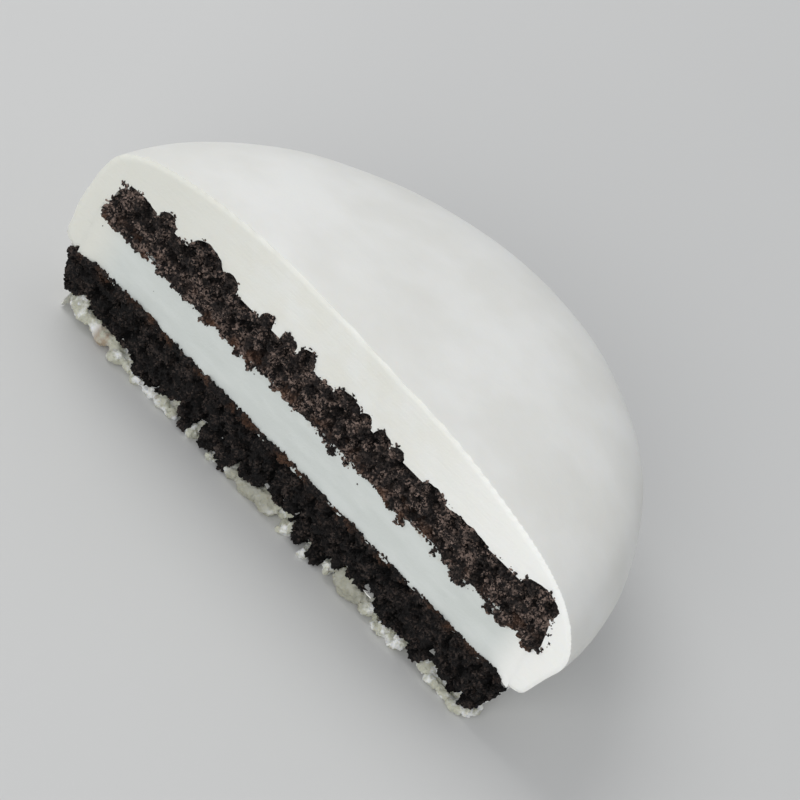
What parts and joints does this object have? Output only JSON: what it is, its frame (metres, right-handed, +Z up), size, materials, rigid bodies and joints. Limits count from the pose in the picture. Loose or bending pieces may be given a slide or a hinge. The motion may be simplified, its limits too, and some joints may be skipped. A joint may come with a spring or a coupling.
{
  "type": "half of a white-coated chocolate sandwich cookie",
  "caption": "Half of a chocolate sandwich cookie in a thick smooth white coating, cut straight down so the dark crumbly wafers and the white filling show.",
  "frame": {"origin": "middle of the underside of the part's box, on the plane it lies on", "axes": "+Z up from the flat underside, +X along the straight cut, so that the cut face looks towards -Y and the rounded back towards +Y"},
  "size_m": [0.0478, 0.024, 0.0179],
  "materials": {
    "white_coating": "smooth satin white compound coating",
    "white_filling": "matt smooth sugar filling",
    "chocolate_wafer": "rough dry near-black chocolate crumb"
  },
  "bodies": {
    "root": {"coating": "white_coating", "wafer_top": "chocolate_wafer", "cream": "white_filling", "wafer_bottom": "chocolate_wafer"}
  },
  "joints": []
}
